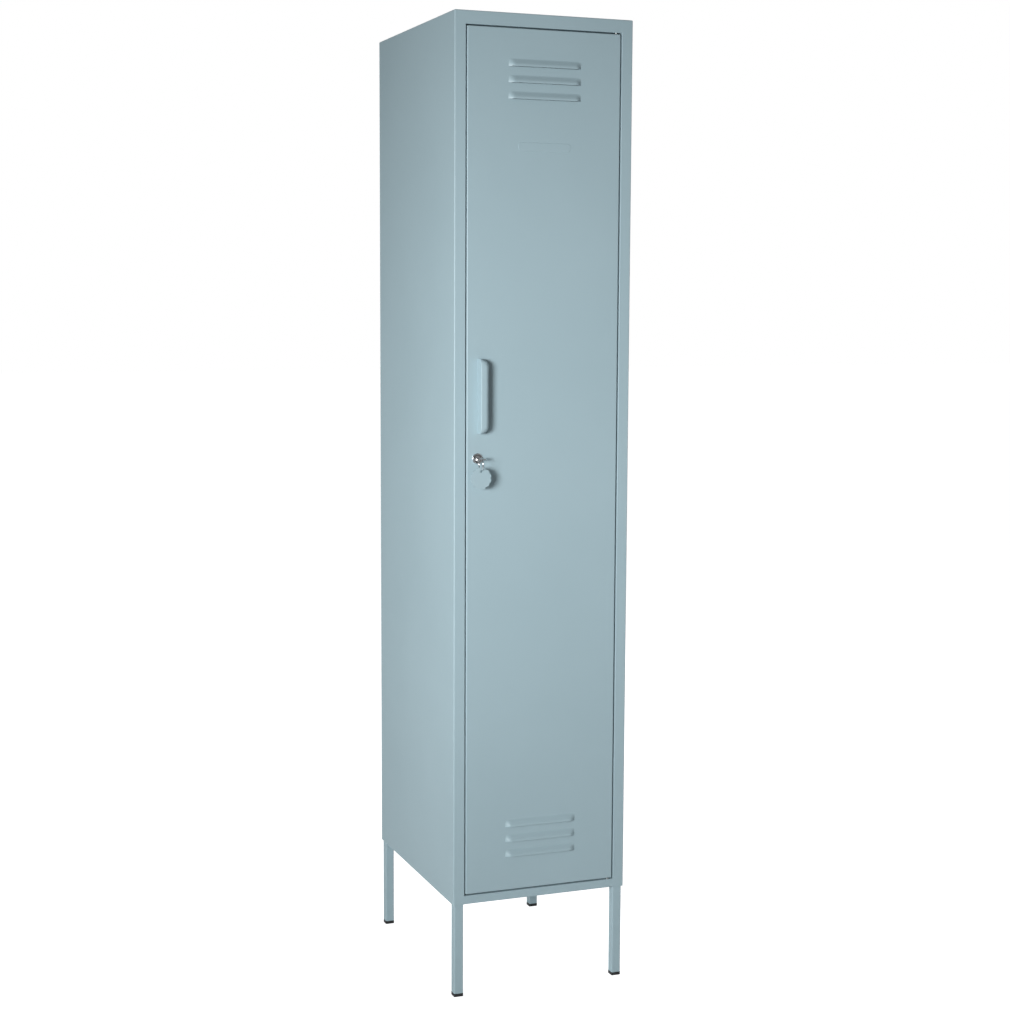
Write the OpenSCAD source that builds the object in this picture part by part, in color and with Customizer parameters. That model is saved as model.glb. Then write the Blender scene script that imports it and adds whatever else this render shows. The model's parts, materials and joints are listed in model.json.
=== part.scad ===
// Slim single-door locker cabinet in folded sheet steel, on four square-tube legs.
// X runs to the right, Y runs to the back and Z runs up. The origin lies on the floor,
// at the middle of the whole object's footprint, key ring included.
// Every sub-part is drawn with Y counted from the cabinet's front plane, then set in place.

/* [Cabinet] */
// Width over the two side panels
cabinet_w = 350; // [300:1:420]
// Depth from the front plane to the back
cabinet_d = 460; // [380:1:560]
// Height from the floor to the top panel
cabinet_h = 1830; // [1500:1:2000]
// Height of the cabinet's underside above the floor
floor_gap = 180; // [120:1:240]
// Thickness of the folded sheet
sheet_t = 1; // [0.7:0.1:1.2]
// Outer radius of the upright folds
fold_r = 2; // [1.5:0.1:3]
// Width of the folded rear flanges
rear_flange_w = 15; // [12:1:20]
// Width of the folded lower hems
lower_hem_w = 24; // [22:1:30]

/* [Front frame] */
// Width of each stile, from the cabinet's side to the opening
stile_w = 21.8; // [18:0.1:30]
// Height of the top rail
top_rail_h = 24.3; // [20:0.1:35]
// Height of the bottom rail
bottom_rail_h = 16.5; // [15:0.1:25]
// Depth of the lip that runs back round the opening
lip_d = 20; // [20:0.5:24]
// Width of the door stop behind the lip
stop_w = 7; // [6:0.5:9]

/* [Door] */
// Gap all round the closed door
door_gap = 2.4; // [2:0.1:3]
// Depth of the door's folded edge
door_t = 18; // [15:0.5:18]
// Width of the hem behind the door's folded edge
door_hem_w = 10; // [8:0.5:10]
// Distance of the hinge line from the door's edge
hinge_inset = 8; // [8:0.5:10]
// Distance of the hinge line behind the front plane
hinge_depth = 4.75; // [4.75:0.05:5]
// Radius of the hinge pins
hinge_pin_r = 2; // [1.5:0.1:2.4]
// Length of the hinge pins
hinge_pin_len = 14; // [12:0.5:18]
// Width of the stiffener inside the door
stiffener_w = 60; // [40:1:80]

/* [Louvres] */
// Width of one louvre hood
louvre_w = 144; // [100:1:160]
// Height of one louvre hood
louvre_h = 15; // [12:0.5:18]
// How far a hood stands out of the door
louvre_proud = 6; // [4:0.5:7]
// Distance from one hood to the next
louvre_pitch = 29; // [25:1:35]
// Number of hoods in each set
louvre_count = 3; // [2:1:4]
// Distance from the door's upper edge to the nearest hood
louvre_margin = 53; // [45:1:70]
// Distance from the door's lower edge to the nearest hood
louvre_margin_low = 65; // [45:1:80]

/* [Handle] */
// Height of the cup handle
handle_h = 137; // [120:1:180]
// Width of the cup handle at the door
handle_w = 17; // [15.5:0.5:20]
// How far the handle stands out
handle_proud = 20; // [18:0.5:24]
// Radius of the handle's two corners on the open side
handle_corner_r = 13; // [10:0.5:13.5]
// Wall of the handle
handle_wall = 2; // [1.5:0.1:2.5]
// Distance from the door's free edge to the handle
handle_inset = 21.8; // [16:0.1:24]
// Height of the handle's lower end above the floor
handle_z = 1070; // [1056:1:1120]

/* [Lock] */
// Distance from the door's free edge to the lock's axis
lock_inset = 20.8; // [19:0.1:24]
// Height of the lock's axis above the floor
lock_z = 1024; // [980:1:1030]
// Radius of the lock's face
lock_face_r = 10; // [9.5:0.1:12]
// Radius of the lock's barrel
lock_barrel_r = 8; // [7.5:0.1:8.5]
// Radius of the turning plug
lock_plug_r = 6; // [5.8:0.1:6.2]
// Reach of the cam from the lock's axis
cam_reach = 30; // [28:0.5:34]
// Radius from the key ring's middle to its wire
ring_r = 11; // [10.5:0.5:13]
// Radius of the key tag
tag_r = 20; // [18:0.5:22]

/* [Inside] */
// Slot that carries the upper shelf, counted down from the highest slot
upper_shelf_slot = 5; // [3:1:10]
// Slot that carries the lower shelf, counted up from the lowest slot
lower_shelf_slot = 7; // [4:1:12]
// Height of a shelf's folded edge
shelf_edge_h = 20; // [15:1:30]
// Width of the slotted shelf uprights
upright_w = 20; // [18:1:24]
// Depth of the slotted shelf uprights
upright_d = 8; // [8:0.5:12]
// Distance from one slot to the next
slot_pitch = 50; // [50:50:100]
// Radius of the hanging rail
rail_r = 9; // [8:0.5:12]
// Radius of the cable opening in the back
cable_r = 20; // [15:1:25]

/* [Legs] */
// Side of the square leg tube
leg_side = 18; // [15:0.1:22]
// Wall of the leg tube
leg_wall = 1.2; // [1:0.1:2]
// Distance from the cabinet's side to the leg
leg_inset = 2.7; // [2:0.1:4]
// Height of the plastic foot cap that shows
foot_h = 6; // [4:0.5:10]

/* [Hidden] */
$fn = 48;

powder = [0.60, 0.68, 0.71];
black = [0.07, 0.07, 0.08];
steel = [0.78, 0.79, 0.80];
white = [0.88, 0.88, 0.86];

// clearances
running = 0.05;   // a shaft in its bore
slip = 0.1;       // a fixed piece in its hole
free = 1;         // a loose piece beside its neighbour

// the lock, the key and what hangs on it
lock_flange_t = 2.5;
lock_barrel_len = lip_d + sheet_t;   // the cam just clears the door stop
keyway_w = 8.4;
keyway_h = 2.1;
keyway_end = lock_barrel_len - 5.5;
plug_square = 7;
plug_collar_r = 7.2;
cam_t = 2;
cam_w = 12;
cam_hub_r = 8;
cam_screw_r = 5;
bow_t = 2;
bow_len = 19;
bow_w = 26;
bow_rim = 3.5;
bow_hole_r = 4.5;
bow_gap = 1.5;
ring_wire_r = 0.9;
ring_play = 2.4;           // from the bow's middle plane up to the ring's wire
tag_t = 2.5;
tag_hole_r = 2.8;
tag_lobes = 12;
bow_front = -lock_flange_t - bow_gap - bow_len;
bow_hole_y = bow_front + bow_rim + bow_hole_r;
ring_y = bow_front + bow_rim / 2;
ring_z = lock_z - ring_r + ring_play;
ring_low_z = ring_z - ring_r;
tag_hole_z = ring_low_z - (tag_hole_r - ring_wire_r - 0.15);
tag_z = tag_hole_z - tag_r * 0.67;

// the whole object's footprint is centred on the origin
reach_front = -(ring_y - ring_r - ring_wire_r);
front_y = (reach_front - cabinet_d) / 2;

// the carcass
half_w = cabinet_w / 2;
inner_x = half_w - sheet_t;
roof_z = cabinet_h - sheet_t;
open_x = half_w - stile_w;
open_z0 = floor_gap + bottom_rail_h;
open_z1 = cabinet_h - top_rail_h;
back_y = cabinet_d - 2 * sheet_t;
lip_end = lip_d + sheet_t;
flange_h = 15;
hinge_clear = 32;
stop_end_x = open_x - door_gap - hinge_inset - hinge_clear;   // the stops leave the hinge corner free

// the door
door_x = open_x - door_gap;
door_z0 = open_z0 + door_gap;
door_z1 = open_z1 - door_gap;
hinge_x = door_x - hinge_inset;
lock_x = -door_x + lock_inset;
handle_x = -door_x + handle_inset;
bush_r = hinge_pin_r + 1;
bush_flange_r = bush_r + 0.7;
bush_len = 6;
bush_collar_t = 0.5;
pin_head_r = 3.5;
pin_head_t = 2;
boss_r = 4;
boss_len = 10;
handle_slope = 1;          // how far the free side leans over on its way to the front
boss_x = handle_x + (handle_slope + handle_w) / 2;
screw_inset = 15;
handle_screw_rows = [handle_z + screw_inset, handle_z + handle_h - screw_inset];
screw_r = 2;
screw_head_r = 4;
screw_head_t = 2.5;
pad_t = 0.6;
pad_w = 104;
pad_h = 16;
pad_z = cabinet_h - 238;
stiffener_play = 4;
stiffener_d = door_t - stiffener_play;
stiffener_flange = 12;
stiffener_margin = 60;

// shelves and their uprights
clip_t = 2;
clip_w = 12;
clip_hook = 5;
clip_lip = 8;
clip_reach = 10;
clip_bend = 1.5;
clip_play = 0.1;
slot_h = 4;
slot_w = 14;
shelf_front = 30;
shelf_back_gap = 10;
shelf_half_w = inner_x - upright_d - free;
upright_y = [45, cabinet_d - 60];
upright_play = 9;
upright_top = roof_z - flange_h - upright_play;
slot_margin = 38;
slot_z0 = open_z0 + slot_margin;
slot_rows = floor((upright_top - slot_z0 - slot_margin - slot_h) / slot_pitch);
upper_shelf_z = slot_z0 + (slot_rows - upper_shelf_slot) * slot_pitch + clip_t;
lower_shelf_z = slot_z0 + lower_shelf_slot * slot_pitch + clip_t;

// the hanging rail, its brackets and the hooks
rail_y = cabinet_d / 2;
rail_wall = 1.2;
rail_z = upper_shelf_z - 60;
bracket_plate_r = 18;
bracket_plate_t = 3;
bracket_cup_len = 12;
bracket_cup_wall = 2.5;
hook_y = cabinet_d - 140;
hook_z = rail_z - 60;
hook_plate_t = 2;
hook_plate_w = 20;
hook_plate_h = 44;
hook_arm = 14;
hook_rise = 12;
hook_ball_r = 5;
hook_r = 3;
hook_bend_r = 14;

// the legs and what holds them
leg_mid = leg_inset + leg_side / 2;
leg_top_t = 3;
leg_corner_r = 2;
plate_t = 3;
plate_len = 44;
bolt_r = 4;
bolt_head_h = 6;
bolt_head_af = 12;
bolt_top = floor_gap + sheet_t + plate_t + 9;
nut_h = 6.5;
foot_proud = 0.3;
foot_plug_h = 12;

// fixings in the back
rivet_r = 1.6;
rivet_head_r = 3.2;
rivet_head_t = 1.2;
rivet_rows = 6;
rivet_margin = 60;
rivet_x = half_w - rear_flange_w / 2;
wall_hole_r = 3.25;
wall_hole_span = 220;
wall_hole_z = cabinet_h - 90;
grommet_flange_r = cable_r + 7;
grommet_flange_t = 2;
cable_z = open_z0 + 110;

// the door's catch and bumpers
bumper_r = 3;
bumper_t = lip_d - door_t - 0.2;
bumper_rows = [door_z0 + 60, (door_z0 + door_z1) / 2 + 60, door_z1 - 60];
catch_h = 40;
catch_depth = 10;
strike_inset = 3;
strike_w = 14;
catch_z = door_z1 - 160;
catch_w = 12;
strike_t = 1.2;
catch_gap = 0.2;

// ---------- helpers ----------

// A box given by its low and high corners
module block(low, high) {
    translate(low) cube(high - low);
}

// A round bar along Y, from depth y0 to depth y1
module bar_y(x, z, y0, y1, r) {
    translate([x, y1, z]) rotate([90, 0, 0]) cylinder(r = r, h = y1 - y0);
}

// A round bar along X
module bar_x(x0, x1, y, z, r) {
    translate([x0, y, z]) rotate([0, 90, 0]) cylinder(r = r, h = x1 - x0);
}

// A round bar along Z
module bar_z(x, y, z0, z1, r) {
    translate([x, y, z0]) cylinder(r = r, h = z1 - z0);
}

// A hexagon along Z with its flats a distance af apart
module hex_z(x, y, z0, z1, af) {
    translate([x, y, z0]) cylinder(r = af / 2 / cos(30), h = z1 - z0, $fn = 6);
}

// A square with round corners, centred
module round_square(side, r) {
    square([side, side - 2 * r], center = true);
    square([side - 2 * r, side], center = true);
    for (sx = [-1, 1], sy = [-1, 1])
        translate([sx * (side / 2 - r), sy * (side / 2 - r)]) circle(r);
}

// The cabinet's plan with its four upright folds rounded
module plan_outline() {
    translate([-half_w + fold_r, 0]) square([cabinet_w - 2 * fold_r, cabinet_d]);
    translate([-half_w, fold_r]) square([cabinet_w, cabinet_d - 2 * fold_r]);
    for (sx = [-1, 1], y = [fold_r, cabinet_d - fold_r])
        translate([sx * (half_w - fold_r), y]) circle(fold_r);
}

// Puts a sub-part drawn from the front plane into the object's frame
module in_place() {
    translate([0, front_y, 0]) children();
}

// Draws its children on the left and on the right
module both_sides() {
    children();
    mirror([1, 0, 0]) children();
}

// ---------- carcass ----------

// One side panel, drawn on the left: wall, rear flange and lower hem
module side_panel() {
    difference() {
        union() {
            translate([0, 0, floor_gap]) linear_extrude(roof_z - floor_gap) intersection() {
                union() {
                    translate([-half_w, sheet_t]) square([sheet_t, cabinet_d - sheet_t]);
                    translate([-half_w, cabinet_d - sheet_t]) square([rear_flange_w, sheet_t]);
                }
                plan_outline();
            }
            block([-half_w + sheet_t / 2, sheet_t, floor_gap],
                  [-half_w + lower_hem_w, cabinet_d - sheet_t, floor_gap + sheet_t]);
        }
        for (y = [leg_mid, cabinet_d - leg_mid])
            bar_z(-half_w + leg_mid, y, floor_gap - 1, floor_gap + 2 * sheet_t, bolt_r + slip);
        rivet_spots(rivet_r + running, back_y - 1, cabinet_d + 1);
    }
}

// One stile, drawn on the left: its face, the lip beside the opening, and the door stop
module stile(with_stop) {
    translate([0, 0, floor_gap]) linear_extrude(roof_z - floor_gap) intersection() {
        translate([-half_w, 0]) square([stile_w, sheet_t]);
        plan_outline();
    }
    block([-open_x - sheet_t, 0, open_z0 - sheet_t], [-open_x, lip_end, open_z1 + sheet_t]);
    if (with_stop)
        block([-open_x - sheet_t, lip_d, open_z0], [-open_x + stop_w, lip_end, open_z1]);
}

module left_side() {
    color(powder) in_place() side_panel();
}

module right_side() {
    color(powder) in_place() mirror([1, 0, 0]) side_panel();
}

module stile_left() {
    color(powder) in_place() stile(true);
}

// The door closes against the left stop only, so the hinge side has none
module stile_right() {
    color(powder) in_place() mirror([1, 0, 0]) stile(false);
}

// Bars at every rivet of both rear flanges
module rivet_spots(r, y0, y1) {
    z0 = floor_gap + rivet_margin;
    z1 = roof_z - rivet_margin;
    for (i = [0 : rivet_rows - 1]) both_sides()
        bar_y(-rivet_x, z0 + (z1 - z0) * i / (rivet_rows - 1), y0, y1, r);
}

module back_panel() {
    color(powder) in_place() difference() {
        block([-inner_x, back_y, floor_gap + sheet_t], [inner_x, back_y + sheet_t, roof_z]);
        rivet_spots(rivet_r + running, back_y - 1, cabinet_d);
        for (sx = [-1, 1])
            bar_y(sx * wall_hole_span / 2, wall_hole_z, back_y - 1, cabinet_d, wall_hole_r);
        bar_y(0, cable_z, back_y - 1, cabinet_d, cable_r + 2 + slip);
    }
}

module back_rivets() {
    color(powder) in_place() {
        rivet_spots(rivet_r, back_y - 0.2, cabinet_d);
        rivet_spots(rivet_head_r, back_y - rivet_head_t, back_y);
    }
}

module top_panel() {
    color(powder) in_place() {
        translate([0, 0, roof_z]) linear_extrude(sheet_t) plan_outline();
        both_sides() block([-inner_x, lip_end, roof_z - flange_h], [-inner_x + sheet_t, back_y, roof_z]);
        block([-inner_x, back_y - sheet_t, roof_z - flange_h], [inner_x, back_y, roof_z]);
    }
}

module bottom_panel() {
    color(powder) in_place() {
        block([-inner_x, lip_end, open_z0 - sheet_t], [inner_x, back_y, open_z0]);
        both_sides() block([-inner_x, lip_end, floor_gap + sheet_t],
                           [-inner_x + sheet_t, back_y, open_z0]);
        block([-inner_x, back_y - sheet_t, floor_gap + sheet_t], [inner_x, back_y, open_z0]);
    }
}

module front_rail_top() {
    color(powder) in_place() difference() {
        union() {
            block([-open_x, 0, open_z1], [open_x, sheet_t, roof_z]);
            block([-open_x, 0, open_z1], [open_x, lip_end, open_z1 + sheet_t]);
            block([-open_x + stop_w, lip_d, open_z1 - stop_w], [stop_end_x, lip_end, open_z1 + sheet_t]);
            block([-open_x, 0, roof_z - sheet_t], [open_x, lip_end - 3, roof_z]);
        }
        bar_z(hinge_x, hinge_depth, open_z1 - 1, open_z1 + 2 * sheet_t, hinge_pin_r + running);
    }
}

module front_rail_bottom() {
    rail_end = half_w - lower_hem_w;
    color(powder) in_place() difference() {
        union() {
            block([-open_x, 0, floor_gap], [open_x, sheet_t, open_z0]);
            block([-open_x, 0, open_z0 - sheet_t], [open_x, lip_end, open_z0]);
            block([-open_x + stop_w, lip_d, open_z0 - sheet_t], [stop_end_x, lip_end, open_z0 + stop_w]);
            block([-rail_end, 0, floor_gap], [rail_end, lip_end, floor_gap + sheet_t]);
        }
        bar_z(hinge_x, hinge_depth, open_z0 - 2 * sheet_t, open_z0 + 1, hinge_pin_r + running);
    }
}

// ---------- shelves and hanging ----------

// Draws its children, made for the left front upright, at one of the four uprights
module at_upright(side, row) {
    translate([0, upright_y[row], 0]) mirror([side > 0 ? 1 : 0, 0, 0]) children();
}

module upright(side, row) {
    face_x = -inner_x + upright_d;
    color(powder) in_place() at_upright(side, row) difference() {
        block([-inner_x, 0, open_z0], [face_x, upright_w, upright_top]);
        block([-inner_x - 1, sheet_t, open_z0 - 1], [face_x - sheet_t, upright_w - sheet_t, upright_top + 1]);
        for (i = [0 : slot_rows])
            translate([face_x - 2 * sheet_t, (upright_w - slot_w) / 2, slot_z0 + i * slot_pitch])
                cube([3 * sheet_t, slot_w, slot_h]);
    }
}

// Four clips that hang in the slots and carry a shelf's edge
module shelf_clips(z) {
    face_x = -inner_x + upright_d;
    tab_y = (upright_w - clip_w) / 2;
    color(steel) in_place() for (side = [-1, 1], row = [0, 1]) at_upright(side, row) {
        block([face_x - sheet_t - clip_bend, tab_y, z - clip_t], [face_x + clip_reach, tab_y + clip_w, z]);
        block([face_x - sheet_t - clip_bend, tab_y, z - clip_t - clip_hook],
              [face_x - sheet_t - clip_play, tab_y + clip_w, z]);
        block([face_x + clip_play, tab_y, z - clip_t - clip_lip],
              [face_x + clip_play + clip_bend, tab_y + clip_w, z]);
    }
}

// A pan-shaped shelf: a flat tray with its four edges folded down
module shelf(z) {
    back = back_y - shelf_back_gap;
    color(powder) in_place() difference() {
        block([-shelf_half_w, shelf_front, z], [shelf_half_w, back, z + shelf_edge_h]);
        block([-shelf_half_w + sheet_t, shelf_front + sheet_t, z - 1],
              [shelf_half_w - sheet_t, back - sheet_t, z + shelf_edge_h - sheet_t]);
    }
}

module hanging_rail() {
    end_x = inner_x - bracket_plate_t;
    color(steel) in_place() difference() {
        bar_x(-end_x, end_x, rail_y, rail_z, rail_r);
        bar_x(-end_x - 1, end_x + 1, rail_y, rail_z, rail_r - rail_wall);
    }
}

module rail_bracket(side) {
    plate_x = inner_x - bracket_plate_t;
    color(steel) in_place() mirror([side > 0 ? 1 : 0, 0, 0]) difference() {
        union() {
            bar_x(-inner_x, -plate_x, rail_y, rail_z, bracket_plate_r);
            bar_x(-plate_x, -plate_x + bracket_cup_len, rail_y, rail_z, rail_r + bracket_cup_wall);
        }
        bar_x(-plate_x, -plate_x + bracket_cup_len + 1, rail_y, rail_z, rail_r + slip);
    }
}

// A bent wire hook on a small plate
module coat_hook(side) {
    arm_z = hook_z - hook_arm;
    rise_x = -inner_x + hook_arm + hook_bend_r;
    color(steel) in_place() mirror([side > 0 ? 1 : 0, 0, 0]) {
        block([-inner_x, hook_y - hook_plate_w / 2, hook_z - hook_plate_h / 2],
              [-inner_x + hook_plate_t, hook_y + hook_plate_w / 2, hook_z + hook_plate_h / 2]);
        bar_x(-inner_x + 1, -inner_x + hook_arm, hook_y, arm_z, hook_r);
        translate([-inner_x + hook_arm, hook_y, arm_z + hook_bend_r]) rotate([90, 0, 0])
            rotate([0, 0, -90]) rotate_extrude(angle = 90) translate([hook_bend_r, 0]) circle(hook_r);
        bar_z(rise_x, hook_y, arm_z + hook_bend_r, hook_z + hook_rise, hook_r);
        translate([rise_x, hook_y, hook_z + hook_rise + 2]) sphere(hook_ball_r);
    }
}

// ---------- legs ----------

// Draws its children, made round the Z axis, at one of the four legs
module at_leg(sx, sy) {
    y = sy < 0 ? leg_mid : cabinet_d - leg_mid;
    translate([sx * (half_w - leg_mid), y, 0]) children();
}

module leg(sx, sy) {
    inner = leg_side - 2 * leg_wall;
    color(powder) in_place() at_leg(sx, sy) difference() {
        translate([0, 0, foot_h]) linear_extrude(floor_gap - foot_h) round_square(leg_side, leg_corner_r);
        translate([0, 0, foot_h - 1]) linear_extrude(floor_gap - leg_top_t - foot_h + 1)
            round_square(inner, leg_corner_r - leg_wall / 2);
        bar_z(0, 0, floor_gap - leg_top_t - 1, floor_gap + 1, bolt_r + slip);
    }
}

module foot(sx, sy) {
    plug = leg_side - 2 * leg_wall - 2 * slip;
    color(black) in_place() at_leg(sx, sy) {
        linear_extrude(foot_h) round_square(leg_side + 2 * foot_proud, leg_corner_r);
        translate([0, 0, foot_h]) linear_extrude(foot_plug_h) round_square(plug, leg_corner_r - leg_wall / 2);
    }
}

// Four corner plates that stiffen the cabinet above the legs
module leg_plates() {
    plate_x = inner_x - sheet_t;
    z = floor_gap + sheet_t;
    color(powder) in_place() for (front = [true, false]) both_sides() difference() {
        block([-plate_x, front ? sheet_t : back_y - sheet_t - plate_len, z],
              [-plate_x + plate_len, front ? sheet_t + plate_len : back_y - sheet_t, z + plate_t]);
        bar_z(-half_w + leg_mid, front ? leg_mid : cabinet_d - leg_mid, z - 1, z + plate_t + 1, bolt_r + slip);
    }
}

module leg_bolts() {
    head_z = floor_gap - leg_top_t;
    color(steel) in_place() for (sx = [-1, 1], sy = [-1, 1]) at_leg(sx, sy) {
        hex_z(0, 0, head_z - bolt_head_h, head_z, bolt_head_af);
        bar_z(0, 0, head_z - 1, bolt_top, bolt_r);
    }
}

module leg_nuts() {
    z = floor_gap + sheet_t + plate_t;
    color(steel) in_place() for (sx = [-1, 1], sy = [-1, 1]) at_leg(sx, sy) difference() {
        hex_z(0, 0, z, z + nut_h, bolt_head_af + 1);
        bar_z(0, 0, z - 1, z + nut_h + 1, bolt_r + running);
    }
}

// ---------- small pieces on the carcass ----------

module cable_grommet() {
    y0 = back_y - grommet_flange_t;
    y1 = back_y + sheet_t + grommet_flange_t / 2;
    color(black) in_place() difference() {
        union() {
            bar_y(0, cable_z, y0, back_y, grommet_flange_r);
            bar_y(0, cable_z, y0, y1, cable_r + 2);
        }
        bar_y(0, cable_z, y0 - 1, y1 + 1, cable_r);
    }
}

// The top hinge pin hangs through the top rail
module hinge_pin_top() {
    z = open_z1 + sheet_t;
    color(steel) in_place() {
        bar_z(hinge_x, hinge_depth, z, z + pin_head_t, pin_head_r);
        bar_z(hinge_x, hinge_depth, z - hinge_pin_len, z + 1, hinge_pin_r);
    }
}

// The bottom hinge pin has a shoulder that carries the door
module hinge_pin_bottom() {
    z = open_z0 - sheet_t;
    shoulder_top = door_z0 - bush_collar_t - slip;
    color(steel) in_place() {
        bar_z(hinge_x, hinge_depth, z - pin_head_t, z, pin_head_r);
        bar_z(hinge_x, hinge_depth, z - 1, z + hinge_pin_len, hinge_pin_r);
        bar_z(hinge_x, hinge_depth, open_z0, shoulder_top, pin_head_r - 0.1);
    }
}

module door_bumpers() {
    color(black) in_place() for (z = bumper_rows)
        bar_y(-open_x + stop_w / 2, z, lip_d - bumper_t, lip_d, bumper_r);
}

// A magnet block behind the stop, level with the door's strike
module catch_magnet() {
    x0 = -open_x + stop_w + catch_gap;
    face_y = door_t + strike_t + catch_gap;
    color(white) in_place() {
        block([x0, face_y, catch_z - catch_h / 2], [x0 + catch_w, lip_end + catch_depth, catch_z + catch_h / 2]);
        block([-open_x, lip_end, catch_z - catch_h / 2], [x0 + 1, lip_end + 2, catch_z + catch_h / 2]);
    }
}

// ---------- door ----------

// Height of the lowest edge of hood i in the upper and in the lower set
function upper_louvre_z(i) = door_z1 - louvre_margin - louvre_h - i * louvre_pitch;
function lower_louvre_z(i) = door_z0 + louvre_margin_low + i * louvre_pitch;
louvre_rows = [for (i = [0 : louvre_count - 1]) each [upper_louvre_z(i), lower_louvre_z(i)]];

// Side view of one hood: it leaves the door at its top and stands out at its lower edge
module hood_profile(inset) {
    polygon([[inset, louvre_h - 2 * inset], [-louvre_proud + inset, 4 - inset / 2],
             [-louvre_proud + inset, 0], [inset, 0]]);
}

// One hood with its lower edge at height z, closed at its two ends
module louvre_hood(z) {
    translate([0, 0, z]) difference() {
        translate([-louvre_w / 2, 0, 0]) rotate([90, 0, 90]) linear_extrude(louvre_w) hood_profile(0);
        translate([-louvre_w / 2 + sheet_t, 0, -0.01]) rotate([90, 0, 90])
            linear_extrude(louvre_w - 2 * sheet_t) hood_profile(sheet_t);
    }
}

// A plain raised pad with round ends
module raised_pad() {
    block([-pad_w / 2 + pad_h / 2, -pad_t, pad_z - pad_h / 2], [pad_w / 2 - pad_h / 2, 0.2, pad_z + pad_h / 2]);
    for (sx = [-1, 1]) bar_y(sx * (pad_w - pad_h) / 2, pad_z, -pad_t, 0.2, pad_h / 2);
}

module door_panel() {
    color(powder) in_place() difference() {
        union() {
            difference() {
                block([-door_x, 0, door_z0], [door_x, door_t, door_z1]);
                block([-door_x + sheet_t, sheet_t, door_z0 + sheet_t],
                      [door_x - sheet_t, door_t - sheet_t, door_z1 - sheet_t]);
                block([-door_x + door_hem_w, sheet_t, door_z0 + door_hem_w],
                      [door_x - door_hem_w, door_t + 1, door_z1 - door_hem_w]);
                for (z = louvre_rows)
                    block([-louvre_w / 2 + sheet_t, -1, z], [louvre_w / 2 - sheet_t, 2 * sheet_t, z + louvre_h - 2]);
            }
            for (z = louvre_rows) louvre_hood(z);
            raised_pad();
        }
        bar_y(lock_x, lock_z, -1, 2 * sheet_t, lock_barrel_r + slip);
        bar_z(hinge_x, hinge_depth, door_z0 - 1, door_z0 + 2 * sheet_t, bush_r + slip);
        bar_z(hinge_x, hinge_depth, door_z1 - 2 * sheet_t, door_z1 + 1, bush_r + slip);
        for (z = handle_screw_rows) bar_y(boss_x, z, -1, 2 * sheet_t, screw_r + slip);
    }
}

// A hat-shaped channel behind the door's skin, between the two sets of louvres
module door_stiffener() {
    reach = louvre_margin + louvre_count * louvre_pitch + stiffener_margin;
    z0 = door_z0 + reach;
    z1 = door_z1 - reach;
    half = stiffener_w / 2;
    color(powder) in_place() {
        block([-half, stiffener_d, z0], [half, stiffener_d + sheet_t, z1]);
        both_sides() {
            block([-half, sheet_t, z0], [-half + sheet_t, stiffener_d + sheet_t, z1]);
            block([-half - stiffener_flange, sheet_t, z0], [-half + sheet_t, 2 * sheet_t, z1]);
        }
    }
}

// Front view of the handle, smaller by inset: straight on the free side, round on the open side
module handle_outline(inset) {
    x = handle_w - handle_corner_r;
    r = handle_corner_r - inset;
    polygon(concat(
        [[inset, inset]],
        [for (a = [-90 : 7.5 : 0]) [x + r * cos(a), handle_corner_r + r * sin(a)]],
        [for (a = [0 : 7.5 : 90]) [x + r * cos(a), handle_h - handle_corner_r + r * sin(a)]],
        [[inset, handle_h - inset]]));
}

// The handle's solid form, or its hollow when inset is the wall: the free side leans back to the door
module handle_form(inset, y0, y1) {
    lean = handle_slope / handle_proud;
    side = inset * sqrt(1 + lean * lean);
    intersection() {
        translate([handle_x, y1, handle_z]) rotate([90, 0, 0])
            linear_extrude(y1 - y0) handle_outline(inset);
        translate([handle_x, 0, handle_z - 1]) linear_extrude(handle_h + 2)
            polygon([[side - lean * y1, y1], [side - lean * y0, y0], [2 * handle_w, y0], [2 * handle_w, y1]]);
    }
}

module door_handle() {
    roof_y = -handle_proud + handle_wall;
    mouth_z0 = handle_z + handle_corner_r;
    mouth_z1 = handle_z + handle_h - handle_corner_r;
    color(powder) in_place() difference() {
        union() {
            difference() {
                handle_form(0, -handle_proud, 0);
                handle_form(handle_wall, roof_y, 1);
                block([handle_x + handle_w - handle_corner_r / 2, roof_y, mouth_z0],
                      [handle_x + 2 * handle_w, 1, mouth_z1]);
            }
            for (z = handle_screw_rows) bar_y(boss_x, z, -handle_proud + handle_wall / 2, 0, boss_r);
        }
        for (z = handle_screw_rows) bar_y(boss_x, z, -boss_len + 2, 1, screw_r + running);
    }
}

module handle_screws() {
    color(steel) in_place() for (z = handle_screw_rows) {
        bar_y(boss_x, z, -boss_len + 3, sheet_t + 1, screw_r);
        bar_y(boss_x, z, sheet_t, sheet_t + screw_head_t, screw_head_r);
    }
}

// A nylon bush for a hinge pin. Its flange lies inside the door and is cut flat beside the skin.
module hinge_bush(edge_z, up) {
    color(white) in_place() translate([0, 0, edge_z]) mirror([0, 0, up ? 0 : 1]) difference() {
        union() {
            bar_z(hinge_x, hinge_depth, -bush_collar_t, 0, pin_head_r - 0.1);
            bar_z(hinge_x, hinge_depth, -0.1, bush_len, bush_r);
            intersection() {
                bar_z(hinge_x, hinge_depth, sheet_t, 2 * sheet_t, bush_flange_r);
                block([hinge_x - 5, sheet_t + running, 0], [hinge_x + 5, 2 * hinge_depth, bush_len]);
            }
        }
        bar_z(hinge_x, hinge_depth, -1, bush_len + 1, hinge_pin_r + running);
    }
}

module catch_strike() {
    color(steel) in_place()
        block([-door_x + strike_inset, door_t, catch_z - catch_h / 2],
              [-door_x + strike_inset + strike_w, door_t + strike_t, catch_z + catch_h / 2]);
}

// ---------- lock ----------

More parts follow.
